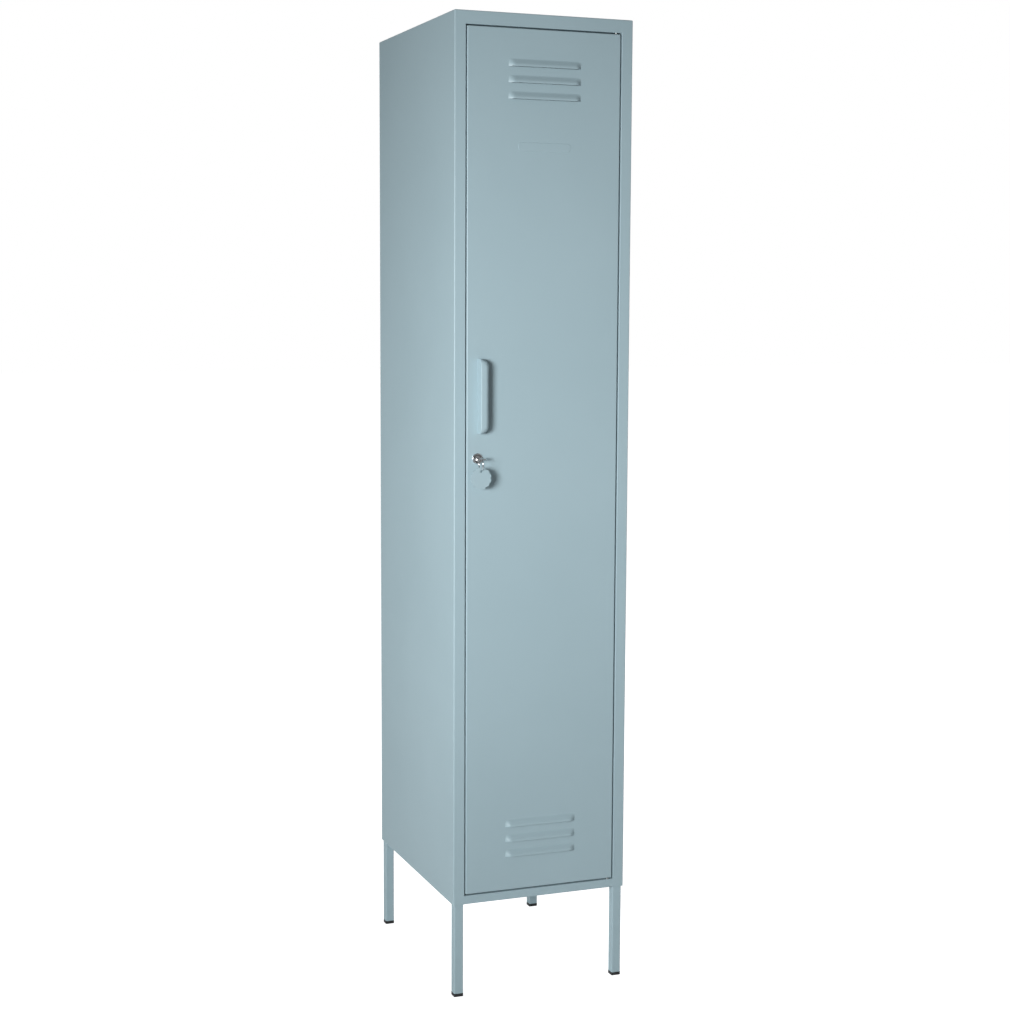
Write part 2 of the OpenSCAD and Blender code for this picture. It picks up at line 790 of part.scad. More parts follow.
module lock_housing() {
    color(steel) in_place() difference() {
        union() {
            bar_y(lock_x, lock_z, -lock_flange_t, 0, lock_face_r);
            bar_y(lock_x, lock_z, -1, lock_barrel_len, lock_barrel_r);
        }
        bar_y(lock_x, lock_z, -lock_flange_t - 1, lock_barrel_len + 1, lock_plug_r + running);
    }
}

module lock_nut() {
    nut_t = 4;
    nut_wall = 2.2;
    color(steel) in_place() difference() {
        translate([lock_x, sheet_t + nut_t, lock_z]) rotate([90, 0, 0])
            cylinder(r = (lock_barrel_r + nut_wall) / cos(30), h = nut_t, $fn = 6);
        bar_y(lock_x, lock_z, 0, sheet_t + nut_t + 1, lock_barrel_r + running);
    }
}

// The plug turns in the housing: a level keyway in front, a square and a collar behind
module lock_plug() {
    collar_y = lock_barrel_len + running;
    color(steel) in_place() difference() {
        union() {
            bar_y(lock_x, lock_z, -lock_flange_t, collar_y + 0.5, lock_plug_r);
            bar_y(lock_x, lock_z, collar_y, collar_y + 1, plug_collar_r);
            block([lock_x - plug_square / 2, collar_y, lock_z - plug_square / 2],
                  [lock_x + plug_square / 2, collar_y + 1 + cam_t, lock_z + plug_square / 2]);
        }
        block([lock_x - keyway_w / 2, -lock_flange_t - 1, lock_z - keyway_h / 2],
              [lock_x + keyway_w / 2, keyway_end, lock_z + keyway_h / 2]);
        bar_y(lock_x, lock_z, keyway_end + 1.5, collar_y + 1 + cam_t + 1, screw_r + running);
    }
}

// The cam hangs down when unlocked and turns behind the stile when locked
module lock_cam() {
    y0 = lock_barrel_len + running + 1;
    hole = plug_square / 2 + running;
    color(steel) in_place() difference() {
        union() {
            bar_y(lock_x, lock_z, y0, y0 + cam_t, cam_hub_r);
            block([lock_x - cam_w / 2, y0, lock_z - cam_reach], [lock_x + cam_w / 2, y0 + cam_t, lock_z]);
        }
        block([lock_x - hole, y0 - 1, lock_z - hole], [lock_x + hole, y0 + cam_t + 1, lock_z + hole]);
    }
}

module cam_screw() {
    y0 = lock_barrel_len + running + 1 + cam_t;
    color(steel) in_place() {
        bar_y(lock_x, lock_z, keyway_end + 2, y0 + 1, screw_r);
        bar_y(lock_x, lock_z, y0, y0 + screw_head_t, cam_screw_r);
    }
}

// The key lies level: a notched blade in the keyway and a flat bow with a hole for the ring
module key() {
    blade_w = keyway_w - 0.4;
    blade_t = keyway_h - 0.4;
    blade_end = keyway_end - 0.5;
    bit_count = 5;
    bit_pitch = 2.6;
    bit_size = 1.6;
    bit_step = 0.5;
    lobe_x = (bow_w - bow_len) / 2;
    bow_y = bow_front + bow_len / 2;
    color(steel) in_place() difference() {
        union() {
            block([lock_x - blade_w / 2, bow_y, lock_z - blade_t / 2],
                  [lock_x + blade_w / 2, blade_end, lock_z + blade_t / 2]);
            block([lock_x - lobe_x, bow_front, lock_z - bow_t / 2],
                  [lock_x + lobe_x, bow_front + bow_len, lock_z + bow_t / 2]);
            for (sx = [-1, 1])
                bar_z(lock_x + sx * lobe_x, bow_y, lock_z - bow_t / 2, lock_z + bow_t / 2, bow_len / 2);
        }
        bar_z(lock_x, bow_hole_y, lock_z - bow_t, lock_z + bow_t, bow_hole_r);
        for (i = [0 : bit_count - 1]) {
            notch = bit_size + bit_step * (i % 3);
            translate([lock_x + blade_w / 2, blade_end - 2 - bit_pitch * i, lock_z]) rotate([0, 0, 45])
                cube([notch, notch, 2 * blade_t], center = true);
        }
    }
}

module key_ring() {
    color(steel) in_place() translate([lock_x, ring_y, ring_z]) rotate([0, 90, 0])
        rotate_extrude($fn = 72) translate([ring_r, 0]) circle(ring_wire_r, $fn = 24);
}

// A round tag with a scalloped edge, hung from the ring by its hole
module key_tag() {
    lobe_r = tag_r * sin(180 / tag_lobes) * 1.05;
    color(powder) in_place() difference() {
        union() {
            bar_y(lock_x, tag_z, ring_y - tag_t / 2, ring_y + tag_t / 2, tag_r - lobe_r);
            for (i = [0 : tag_lobes - 1]) {
                a = (i + 0.5) * 360 / tag_lobes;
                bar_y(lock_x + (tag_r - lobe_r) * cos(a), tag_z + (tag_r - lobe_r) * sin(a),
                      ring_y - tag_t / 2, ring_y + tag_t / 2, lobe_r);
            }
        }
        bar_y(lock_x, tag_hole_z, ring_y - tag_t, ring_y + tag_t, tag_hole_r);
    }
}

// ---------- the object ----------

left_side();
right_side();
stile_left();
stile_right();
back_panel();
top_panel();
bottom_panel();
front_rail_top();
front_rail_bottom();
upright(-1, 0);  // upright_front_left
upright(1, 0);  // upright_front_right
upright(-1, 1);  // upright_rear_left
upright(1, 1);  // upright_rear_right
shelf_clips(upper_shelf_z);  // upper_shelf_clips
shelf_clips(lower_shelf_z);  // lower_shelf_clips
shelf(upper_shelf_z);  // upper_shelf
shelf(lower_shelf_z);  // lower_shelf
hanging_rail();
rail_bracket(-1);  // rail_bracket_left
rail_bracket(1);  // rail_bracket_right
coat_hook(-1);  // coat_hook_left
coat_hook(1);  // coat_hook_right
leg(-1, -1);  // leg_front_left
leg(1, -1);  // leg_front_right
leg(-1, 1);  // leg_rear_left
leg(1, 1);  // leg_rear_right
foot(-1, -1);  // foot_front_left
foot(1, -1);  // foot_front_right
foot(-1, 1);  // foot_rear_left
foot(1, 1);  // foot_rear_right
leg_plates();
leg_bolts();
leg_nuts();
back_rivets();
cable_grommet();
hinge_pin_top();
hinge_pin_bottom();
door_bumpers();
catch_magnet();
door_panel();
door_stiffener();
door_handle();
handle_screws();
hinge_bush(door_z1, false);  // hinge_bush_top
hinge_bush(door_z0, true);  // hinge_bush_bottom
catch_strike();
lock_housing();
lock_nut();
lock_plug();
lock_cam();
cam_screw();
key();
key_ring();
key_tag();
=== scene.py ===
# %% [markdown]
# # A slim steel locker, finished in Blender
# The locker's frame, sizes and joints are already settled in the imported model. This lesson loads
# that model and gives it its looks: sheet-metal pieces with real fold radii, a pressed and louvred
# door, a cup handle, a cam lock with its key, and procedural finishes for all of them.

# %% Load the frame
import json
import math

import bpy
from mathutils import Matrix, Vector


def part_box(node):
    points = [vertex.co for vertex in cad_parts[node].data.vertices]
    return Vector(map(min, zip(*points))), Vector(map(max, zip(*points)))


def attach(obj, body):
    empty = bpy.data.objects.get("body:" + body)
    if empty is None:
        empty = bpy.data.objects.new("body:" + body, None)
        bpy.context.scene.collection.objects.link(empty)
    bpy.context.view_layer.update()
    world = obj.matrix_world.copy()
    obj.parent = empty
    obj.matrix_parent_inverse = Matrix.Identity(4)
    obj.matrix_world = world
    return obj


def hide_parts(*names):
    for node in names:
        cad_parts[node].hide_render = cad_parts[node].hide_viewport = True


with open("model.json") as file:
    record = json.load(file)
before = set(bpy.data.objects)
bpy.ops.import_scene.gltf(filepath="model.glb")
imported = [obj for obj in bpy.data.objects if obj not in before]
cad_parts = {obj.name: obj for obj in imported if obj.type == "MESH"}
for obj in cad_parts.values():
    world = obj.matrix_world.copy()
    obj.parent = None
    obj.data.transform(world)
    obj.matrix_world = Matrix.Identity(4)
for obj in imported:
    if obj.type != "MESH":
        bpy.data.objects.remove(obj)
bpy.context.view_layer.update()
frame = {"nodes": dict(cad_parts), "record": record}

# %% [markdown]
# ## Sizes that everything else uses
# A maker measures from a few faces. Here they are the cabinet's front plane, its two sides, its
# top and its underside, and the opening in the front frame. All of them come from the loaded
# nodes, so the looks follow the model if a size changes.

# %% Read the main faces
MM = 0.001
SHEET = 1.0 * MM
side_low, side_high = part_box("left_side")
wall_x = -side_low.x
front_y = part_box("stile_left")[0].y
rear_y = side_high.y
under_z = side_low.z
top_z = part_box("top_panel")[1].z

_, rail_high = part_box("front_rail_bottom")
opening_x = rail_high.x
lip_end_y = rail_high.y
opening_z0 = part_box("bottom_panel")[1].z
stop_width = rail_high.z - opening_z0
opening_z1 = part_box("front_rail_top")[0].z + stop_width

door_low, door_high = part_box("door_panel")
door_x = door_high.x
door_z0, door_z1 = door_low.z, door_high.z
door_back_y = door_high.y
print("opening", round(2 * opening_x, 4), "m wide; door", round(2 * door_x, 4), "m wide")

# %% [markdown]
# ## Small helpers for modelling
# An operator acts on whatever is selected, and loading the model leaves every node selected. So
# each helper starts from an empty selection. Faces and edges are picked in code by where they lie,
# as a hand would pick them on screen.

# %% Helpers: selection, primitives and modifiers
def only(piece):
    """Selects this piece and nothing else, and makes it active."""
    bpy.ops.object.select_all(action="DESELECT")
    piece.select_set(True)
    bpy.context.view_layer.objects.active = piece


def settle(piece):
    """Moves the piece's place, turn and scale into its mesh, so its object sits at the origin."""
    only(piece)
    bpy.ops.object.transform_apply(location=True, rotation=True, scale=True)
    return piece


def block(name, low, high):
    """A cube primitive stretched between two corners."""
    bpy.ops.object.select_all(action="DESELECT")
    low, high = Vector(low), Vector(high)
    bpy.ops.mesh.primitive_cube_add(size=1, location=(low + high) / 2)
    piece = bpy.context.object
    piece.name = name
    piece.scale = high - low
    return settle(piece)


def rod(name, start, end, radius, sides=48):
    """A cylinder primitive from one point to another."""
    bpy.ops.object.select_all(action="DESELECT")
    start, end = Vector(start), Vector(end)
    turn = (end - start).to_track_quat("Z", "Y").to_euler()
    bpy.ops.mesh.primitive_cylinder_add(
        vertices=sides, radius=radius, depth=(end - start).length,
        location=(start + end) / 2, rotation=turn)
    piece = bpy.context.object
    piece.name = name
    return settle(piece)


def pick(piece, kind, where):
    """In edit mode, selects the faces, edges or vertices whose middle satisfies where()."""
    only(piece)
    bpy.ops.object.mode_set(mode="EDIT")
    bpy.ops.mesh.select_mode(type=kind)
    bpy.ops.mesh.select_all(action="DESELECT")
    bpy.ops.object.mode_set(mode="OBJECT")
    mesh = piece.data
    if kind == "FACE":
        chosen = [f for f in mesh.polygons if where(f.center, f.normal)]
    elif kind == "EDGE":
        ends = [(e, mesh.vertices[e.vertices[0]].co, mesh.vertices[e.vertices[1]].co) for e in mesh.edges]
        chosen = [e for e, a, b in ends if where((a + b) / 2, (b - a).normalized())]
    else:
        chosen = [v for v in mesh.vertices if where(v.co, v.normal)]
    for part in chosen:
        part.select = True
    bpy.ops.object.mode_set(mode="EDIT")
    return len(chosen)


def leave():
    """Back to object mode."""
    bpy.ops.object.mode_set(mode="OBJECT")


def modify(piece, kind, **settings):
    """Adds a modifier, sets it and applies it."""
    only(piece)
    modifier = piece.modifiers.new(kind.title(), kind)
    for key, value in settings.items():
        setattr(modifier, key, value)
    bpy.ops.object.modifier_apply(modifier=modifier.name)
    return piece


def round_edges(piece, width, segments=3, angle=35):
    """Rounds every edge that is sharper than angle."""
    return modify(piece, "BEVEL", width=width, segments=segments, limit_method="ANGLE",
                  angle_limit=math.radians(angle), use_clamp_overlap=True)


def cut(piece, cutter):
    """Takes the cutter's space out of the piece, throws the cutter away, and turns every face outward."""
    modify(piece, "BOOLEAN", operation="DIFFERENCE", object=cutter, solver="EXACT")
    bpy.data.objects.remove(cutter)
    pick(piece, "FACE", lambda m, n: True)
    bpy.ops.mesh.normals_make_consistent(inside=False)
    leave()
    return piece


def join(name, pieces):
    """Joins several pieces into the first one."""
    only(pieces[0])
    for piece in pieces:
        piece.select_set(True)
    bpy.ops.object.join()
    pieces[0].name = name
    return pieces[0]


def smooth(piece, angle=35):
    """Smooth shading, except across edges sharper than angle. Weighted normals keep large flats flat."""
    only(piece)
    bpy.ops.object.shade_smooth_by_angle(angle=math.radians(angle))
    return modify(piece, "WEIGHTED_NORMAL", mode="FACE_AREA", weight=100, keep_sharp=True)


def near(a, b, tolerance=0.2 * MM):
    return abs(a - b) < tolerance


# %% [markdown]
# ## Procedural finishes
# The locker wears six finishes. Powder coat is a baked paint: its colour is even, but its skin has
# the faint ripple of orange peel and a soft, broad gloss. Each finish is a small node tree that
# reads Object coordinates, so a pattern keeps its real scale on every piece.

# %% Helpers for materials
def new_material(name):
    """A material with its node tree emptied down to a Principled shader and the output."""
    material = bpy.data.materials.new(name)
    material.use_nodes = True
    nodes = material.node_tree.nodes
    shader = nodes.get("Principled BSDF")
    return material, nodes, material.node_tree.links, shader


def noise(nodes, links, scale, detail=3.0, roughness=0.5):
    """Noise in metres: scale is how many lumps fit in one metre."""
    place = nodes.new("ShaderNodeTexCoord")
    texture = nodes.new("ShaderNodeTexNoise")
    texture.inputs["Scale"].default_value = scale
    texture.inputs["Detail"].default_value = detail
    texture.inputs["Roughness"].default_value = roughness
    links.new(place.outputs["Object"], texture.inputs["Vector"])
    return texture.outputs["Fac"]


def span(nodes, links, value, low, high, start=0.3, end=0.7):
    """Maps a texture value from start..end to low..high."""
    remap = nodes.new("ShaderNodeMapRange")
    remap.inputs["From Min"].default_value = start
    remap.inputs["From Max"].default_value = end
    remap.inputs["To Min"].default_value = low
    remap.inputs["To Max"].default_value = high
    links.new(value, remap.inputs["Value"])
    return remap.outputs["Result"]


def two_tone(nodes, links, factor, dark, light):
    """Mixes two colours by a texture value."""
    mix = nodes.new("ShaderNodeMix")
    mix.data_type = "RGBA"
    links.new(factor, mix.inputs[0])
    mix.inputs[6].default_value = (*dark, 1)
    mix.inputs[7].default_value = (*light, 1)
    return mix.outputs[2]


def bump(nodes, links, height, strength, distance):
    """Turns a height value into a bump of that real distance."""
    node = nodes.new("ShaderNodeBump")
    node.inputs["Strength"].default_value = strength
    node.inputs["Distance"].default_value = distance
    links.new(height, node.inputs["Height"])
    return node.outputs["Normal"]


# %% Powder coat: dusty grey-blue baked paint
POWDER_DARK = (0.325, 0.440, 0.485)
POWDER_LIGHT = (0.348, 0.466, 0.512)


def powder_coat():
    material, nodes, links, shader = new_material("powder_coat")
    drift = span(nodes, links, noise(nodes, links, 3.5, 2.0), 0.0, 1.0)
    speckle = span(nodes, links, noise(nodes, links, 900.0, 2.0), 0.0, 1.0)
    blend = nodes.new("ShaderNodeMath")
    blend.operation = "MULTIPLY_ADD"
    links.new(speckle, blend.inputs[0])
    blend.inputs[1].default_value = 0.35
    links.new(drift, blend.inputs[2])
    tone = span(nodes, links, blend.outputs[0], 0.0, 1.0, 0.0, 1.35)
    links.new(two_tone(nodes, links, tone, POWDER_DARK, POWDER_LIGHT), shader.inputs["Base Color"])
    gloss = span(nodes, links, noise(nodes, links, 24.0, 3.0), 0.45, 0.47)
    links.new(gloss, shader.inputs["Roughness"])
    peel = noise(nodes, links, 520.0, 2.0, 0.45)
    links.new(bump(nodes, links, peel, 0.22, 0.05 * MM), shader.inputs["Normal"])
    shader.inputs["Specular IOR Level"].default_value = 0.45
    return material


# %% [markdown]
# Metal parts are plated. Bright chrome is nearly a mirror with hair-fine rubbing marks. Zinc
# plate is greyer, with the cloudy patches that passivation leaves.

# %% Bright plate and zinc plate
def bright_chrome():
    material, nodes, links, shader = new_material("bright_chrome")
    haze = span(nodes, links, noise(nodes, links, 160.0, 4.0), 0.0, 1.0)
    plating = two_tone(nodes, links, haze, (0.66, 0.67, 0.68), (0.82, 0.83, 0.84))
    links.new(plating, shader.inputs["Base Color"])
    shader.inputs["Metallic"].default_value = 1.0
    rub = span(nodes, links, noise(nodes, links, 700.0, 5.0, 0.6), 0.10, 0.24)
    links.new(rub, shader.inputs["Roughness"])
    marks = noise(nodes, links, 1400.0, 3.0)
    links.new(bump(nodes, links, marks, 0.10, 0.02 * MM), shader.inputs["Normal"])
    return material


def zinc_steel():
    material, nodes, links, shader = new_material("zinc_steel")
    cloud = span(nodes, links, noise(nodes, links, 90.0, 4.0), 0.0, 1.0)
    zinc = two_tone(nodes, links, cloud, (0.42, 0.43, 0.44), (0.60, 0.61, 0.60))
    links.new(zinc, shader.inputs["Base Color"])
    shader.inputs["Metallic"].default_value = 1.0
    grain = span(nodes, links, noise(nodes, links, 500.0, 4.0), 0.30, 0.46)
    links.new(grain, shader.inputs["Roughness"])
    links.new(bump(nodes, links, noise(nodes, links, 900.0), 0.15, 0.03 * MM), shader.inputs["Normal"])
    return material


# %% Moulded plastics and rubber
def moulded(name, dark, light, rough_low, rough_high, grain):
    """A moulded finish: two close tones, an uneven sheen and a fine spark-eroded grain."""
    material, nodes, links, shader = new_material(name)
    tone = span(nodes, links, noise(nodes, links, 120.0), 0.0, 1.0)
    links.new(two_tone(nodes, links, tone, dark, light), shader.inputs["Base Color"])
    sheen = span(nodes, links, noise(nodes, links, 300.0), rough_low, rough_high)
    links.new(sheen, shader.inputs["Roughness"])
    links.new(bump(nodes, links, noise(nodes, links, grain), 0.25, 0.05 * MM), shader.inputs["Normal"])
    return material


finishes = {
    "powder_coat": powder_coat(),
    "bright_chrome": bright_chrome(),
    "zinc_steel": zinc_steel(),
    "foot_plastic": moulded("foot_plastic", (0.012, 0.012, 0.013), (0.022, 0.022, 0.024), 0.40, 0.55, 1200.0),
    "black_rubber": moulded("black_rubber", (0.014, 0.014, 0.014), (0.024, 0.024, 0.024), 0.65, 0.80, 900.0),
    "white_nylon": moulded("white_nylon", (0.70, 0.70, 0.66), (0.80, 0.80, 0.77), 0.38, 0.50, 800.0),
}
slot_of = {s["node"]: s["material_slot"] for s in frame["record"]["subparts"]}
for node_name, node in frame["nodes"].items():
    node.data.materials.clear()
    node.data.materials.append(finishes[slot_of[node_name]])
print(len(finishes), "finishes on", len(frame["nodes"]), "nodes")


# %% [markdown]
# A finished piece needs four things: smooth shading, its finish, the body it moves with, and the
# node that it stands for. One helper does all four, so no piece can be left behind.

# %% Helper: finish a piece
made = []


def finish_piece(piece, node_name, body, angle=35):
    """Shades the piece, gives it its node's finish, and puts it on the node's body in its place."""
    settle(piece)
    smooth(piece, angle)
    piece.data.materials.clear()
    piece.data.materials.append(finishes[slot_of[node_name]])
    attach(piece, body)
    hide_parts(node_name)
    made.append(piece.name)
    print(piece.name, "has", len(piece.data.polygons), "faces")
    return piece


# %% [markdown]
# Many of the locker's parts already have the right shape: legs, shelves, brackets, the key. Their
# edges are perfectly sharp, though, and no real edge is. Rather than draw them again, a copy of the
# node's own mesh is merged into one skin, its flat faces are joined up, and its edges are rounded
# by the small radius that a press, a mould or a polishing wheel leaves.

# %% Helper: a node with softened edges
def softened(node_name, body, width, segments=3, flatten=True):
    """A copy of the node with rounded edges, which stands for it. Flattening merges its level faces."""
    bpy.ops.object.select_all(action="DESELECT")
    piece = bpy.data.objects.new(node_name + "_soft", frame["nodes"][node_name].data.copy())
    bpy.context.scene.collection.objects.link(piece)
    only(piece)
    bpy.ops.object.mode_set(mode="EDIT")
    bpy.ops.mesh.select_all(action="SELECT")
    bpy.ops.mesh.remove_doubles(threshold=0.005 * MM)
    if flatten:
        bpy.ops.mesh.dissolve_limited(angle_limit=math.radians(0.5))
    leave()
    round_edges(piece, width, segments, angle=40)
    return finish_piece(piece, node_name, body)


# %% [markdown]
# ## The two side panels with their stiles
# Wall and stile look like one sheet: it runs from the rear flange along the side, turns the front
# corner, and turns again at the opening to make the lip. It could be a bent box, but a folded open
# sheet is closer to the shop: each extruded edge is one fold. The lip exists only beside the
# opening, so two bisect cuts divide the stile's edge there first.

# %% Helpers: grow an open sheet and give it thickness
FOLD = 2.0 * MM
LIP_FOLD = 1.0 * MM
RIM = 2.0 * MM


def grow(sheet, where, step):
    """Extrudes the picked open edges by step: one fold."""
    count = pick(sheet, "EDGE", where)
    bpy.ops.mesh.extrude_region_move(TRANSFORM_OT_translate={"value": step})
    leave()
    return count


def fold_radius(sheet, where, radius, segments=4):
    """Rounds the picked folds."""
    pick(sheet, "EDGE", where)
    bpy.ops.mesh.bevel(offset=radius, segments=segments, affect="EDGES")
    leave()


def thicken(sheet, outward):
    """Turns the sheet's largest face outward and thickens the sheet behind it."""
    pick(sheet, "FACE", lambda middle, normal: True)
    bpy.ops.mesh.normals_make_consistent(inside=False)
    leave()
    largest = max(sheet.data.polygons, key=lambda face: face.area)
    if largest.normal.dot(Vector(outward)) < 0:
        pick(sheet, "FACE", lambda middle, normal: True)
        bpy.ops.mesh.flip_normals()
        leave()
    return modify(sheet, "SOLIDIFY", thickness=SHEET, offset=-1.0, use_even_offset=True)


def open_sheet(name, spots):
    """A plane primitive laid over four corners."""
    bpy.ops.object.select_all(action="DESELECT")
    bpy.ops.mesh.primitive_plane_add(size=1)
    sheet = bpy.context.object
    sheet.name = name
    for index, spot in zip(sheet.data.polygons[0].vertices, spots):
        sheet.data.vertices[index].co = spot
    return sheet


def split_at(sheet, place, normal):
    """A bisect cut through the whole sheet."""
    pick(sheet, "FACE", lambda middle, way: True)
    bpy.ops.mesh.bisect(plane_co=place, plane_no=normal)
    leave()


# %% Side panels
rim_z = top_z - RIM
REAR_FLANGE = 15 * MM
HEM_DEPTH = 24 * MM
HEM_START = 1.5 * MM
HEM_END_GAP = 2 * MM
stop_y = lip_end_y - SHEET


def side_panel(side, name, nodes):
    """side is -1 for the left panel, which has the door stop, and +1 for the right one."""
    x = side * wall_x
    corners = [(x, front_y, under_z), (x, rear_y, under_z), (x, rear_y, rim_z), (x, front_y, rim_z)]
    sheet = open_sheet(name, corners)
    for height in (opening_z0, opening_z1):
        split_at(sheet, (0, 0, height), (0, 0, 1))
    beside = lambda m, w: opening_z0 < m.z < opening_z1 and abs(w.z) > 0.9
    grow(sheet, lambda m, w: near(m.y, front_y) and abs(w.z) > 0.9, (side * (opening_x - wall_x), 0, 0))
    lip_y = stop_y if side < 0 else lip_end_y
    grow(sheet, lambda m, w: near(m.x, side * opening_x) and beside(m, w), (0, lip_y - front_y, 0))
    if side < 0:
        grow(sheet, lambda m, w: near(m.y, stop_y) and beside(m, w), (stop_width, 0, 0))
    grow(sheet, lambda m, w: near(m.y, rear_y) and abs(w.z) > 0.9, (-side * REAR_FLANGE, 0, 0))
    fold_radius(sheet, lambda m, w: near(abs(m.x), wall_x) and abs(w.z) > 0.9, FOLD)
    at_lip = lambda m: near(abs(m.x), opening_x) and near(m.y, front_y)
    fold_radius(sheet, lambda m, w: at_lip(m) and beside(m, w), LIP_FOLD)
    thicken(sheet, (side, 0, 0))
    hem = block(name + "_hem", (x - side * HEM_DEPTH, front_y + HEM_END_GAP, under_z),
                (x - side * HEM_START, rear_y - HEM_END_GAP, under_z + SHEET))
    piece = join(name, [sheet, hem])
    finish_piece(piece, nodes[0], "cabinet")
    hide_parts(*nodes)


side_panel(-1, "side_panel_left", ["left_side", "stile_left"])
side_panel(1, "side_panel_right", ["right_side", "stile_right"])

# %% [markdown]
# ## The lid and the two front rails
# The lid's rim turns down over the sides with a soft radius: that is the thin bright line along the
# cabinet's top edge. Its outline has the same corner radius as the side panels, so the two meet
# without a step. The rails fill the frame between the stiles. Their faces lie in one plane with the
# stiles, because the welded joints are ground flat and painted over.

# %% Lid
def lid():
    piece = block("lid", (-wall_x, front_y, rim_z), (wall_x, rear_y, top_z))
    fold_radius(piece, lambda m, w: abs(w.z) > 0.9, FOLD)
    fold_radius(piece, lambda m, w: near(m.z, top_z, 0.01 * MM), RIM * 0.98)
    pick(piece, "FACE", lambda m, n: n.z < -0.9)
    bpy.ops.mesh.inset(thickness=SHEET, depth=0)
    bpy.ops.transform.translate(value=(0, 0, SHEET))
    leave()
    flange_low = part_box("top_panel")[0].z
    inner = wall_x - SHEET
    back = rear_y - 2 * SHEET
    flanges = [block("lid_flange", (left, lip_end_y, flange_low), (left + SHEET, back, rim_z))
               for left in (-inner, inner - SHEET)]
    rear = block("lid_flange_rear", (-inner, back - SHEET, flange_low), (inner, back, rim_z))
    finish_piece(join("lid", [piece] + flanges + [rear]), "top_panel", "cabinet")


lid()

# %% Front rails
hinge_low, hinge_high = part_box("hinge_pin_top")
hinge_x = (hinge_low.x + hinge_high.x) / 2
STOP_SHORT = 32 * MM
RAIL_RETURN = 18 * MM
stop_end_x = hinge_x - STOP_SHORT


def front_rail(name, node_name, outer_z, opening_edge_z, return_depth):
    """A rail from its outer edge to the opening, with the lip and the door stop behind it."""
    way = 1 if opening_edge_z > outer_z else -1
    x = opening_x
    sheet = open_sheet(name, [(-x, front_y, outer_z), (x, front_y, outer_z),
                              (x, front_y, opening_edge_z), (-x, front_y, opening_edge_z)])
    split_at(sheet, (stop_end_x, 0, 0), (1, 0, 0))
    along = lambda w: abs(w.x) > 0.9
    grow(sheet, lambda m, w: near(m.z, opening_edge_z) and along(w), (0, stop_y - front_y, 0))
    grow(sheet, lambda m, w: near(m.y, stop_y) and along(w) and m.x < stop_end_x, (0, 0, way * stop_width))
    if return_depth:
        grow(sheet, lambda m, w: near(m.z, outer_z) and near(m.y, front_y) and along(w), (0, return_depth, 0))
        fold_radius(sheet, lambda m, w: near(m.z, outer_z) and near(m.y, front_y) and along(w), FOLD)
    fold_radius(sheet, lambda m, w: near(m.z, opening_edge_z) and near(m.y, front_y) and along(w), LIP_FOLD)
    thicken(sheet, (0, -1, 0))
    finish_piece(sheet, node_name, "cabinet")


front_rail("rail_top", "front_rail_top", rim_z, opening_z1, 0)
front_rail("rail_bottom", "front_rail_bottom", under_z, opening_z0, RAIL_RETURN)

# %% [markdown]
# ## The door skin
# The door is a shallow tray: a face with four returns and a narrow hem turned in behind. A cube is
# the quickest start, because inset makes the hem and deleting the middle opens the back. The
# returns' corners are welded and ground, so their edges get a small radius too.

# %% Door tray
HEM = 10 * MM
DOOR_FOLD = 2.2 * MM
HEM_FOLD = 1.2 * MM


def door_tray():
    tray = block("door_skin", (-door_x, front_y, door_z0), (door_x, door_back_y, door_z1))
    pick(tray, "FACE", lambda m, n: n.y > 0.9)
    bpy.ops.mesh.inset(thickness=HEM, depth=0)
    bpy.ops.mesh.delete(type="FACE")
    leave()
    fold_radius(tray, lambda m, w: near(m.y, front_y) or abs(w.y) > 0.9, DOOR_FOLD, 5)
    outer = lambda m: (near(abs(m.x), door_x, 0.5 * MM) or near(m.z, door_z0, 0.5 * MM)
                       or near(m.z, door_z1, 0.5 * MM))
    fold_radius(tray, lambda m, w: near(m.y, door_back_y) and outer(m), HEM_FOLD, 3)
    return modify(tray, "SOLIDIFY", thickness=SHEET, offset=-1.0, use_even_offset=True)


door = door_tray()
print("door tray:", len(door.data.polygons), "faces")

# %% [markdown]
# ## The louvres
# A louvre is slit and pressed in one stroke: its lower edge is cut free and stands out, while the
# top and the ends stay joined to the sheet and are stretched into a soft slope. A sheet of small
# faces is drawn out the same way. First each row is pulled forward by its own depth, and then the
# columns near the ends are scaled back towards the door, so that all three joined sides run out
# flush. The slot behind it is a boolean cut in the skin.

# %% Louvre hoods and their slots
HOOD_W = 144 * MM
HOOD_H = 15 * MM
HOOD_PITCH = 29 * MM
MARGIN_TOP = 53 * MM
MARGIN_LOW = 65 * MM
HOODS = 3
HOOD_COLUMNS = 72
SLOT_END = 5 * MM
SLOT_TOP = 4 * MM
SLOT_CORNER = 4 * MM
ROW_DEPTHS = (5.5, 5.85, 5.85, 5.5, 4.9, 4.1, 3.2, 2.3, 1.4, 0.6, 0.1, -0.3)
END_FACTORS = (-0.05, 0.12, 0.38, 0.62, 0.82, 0.94)


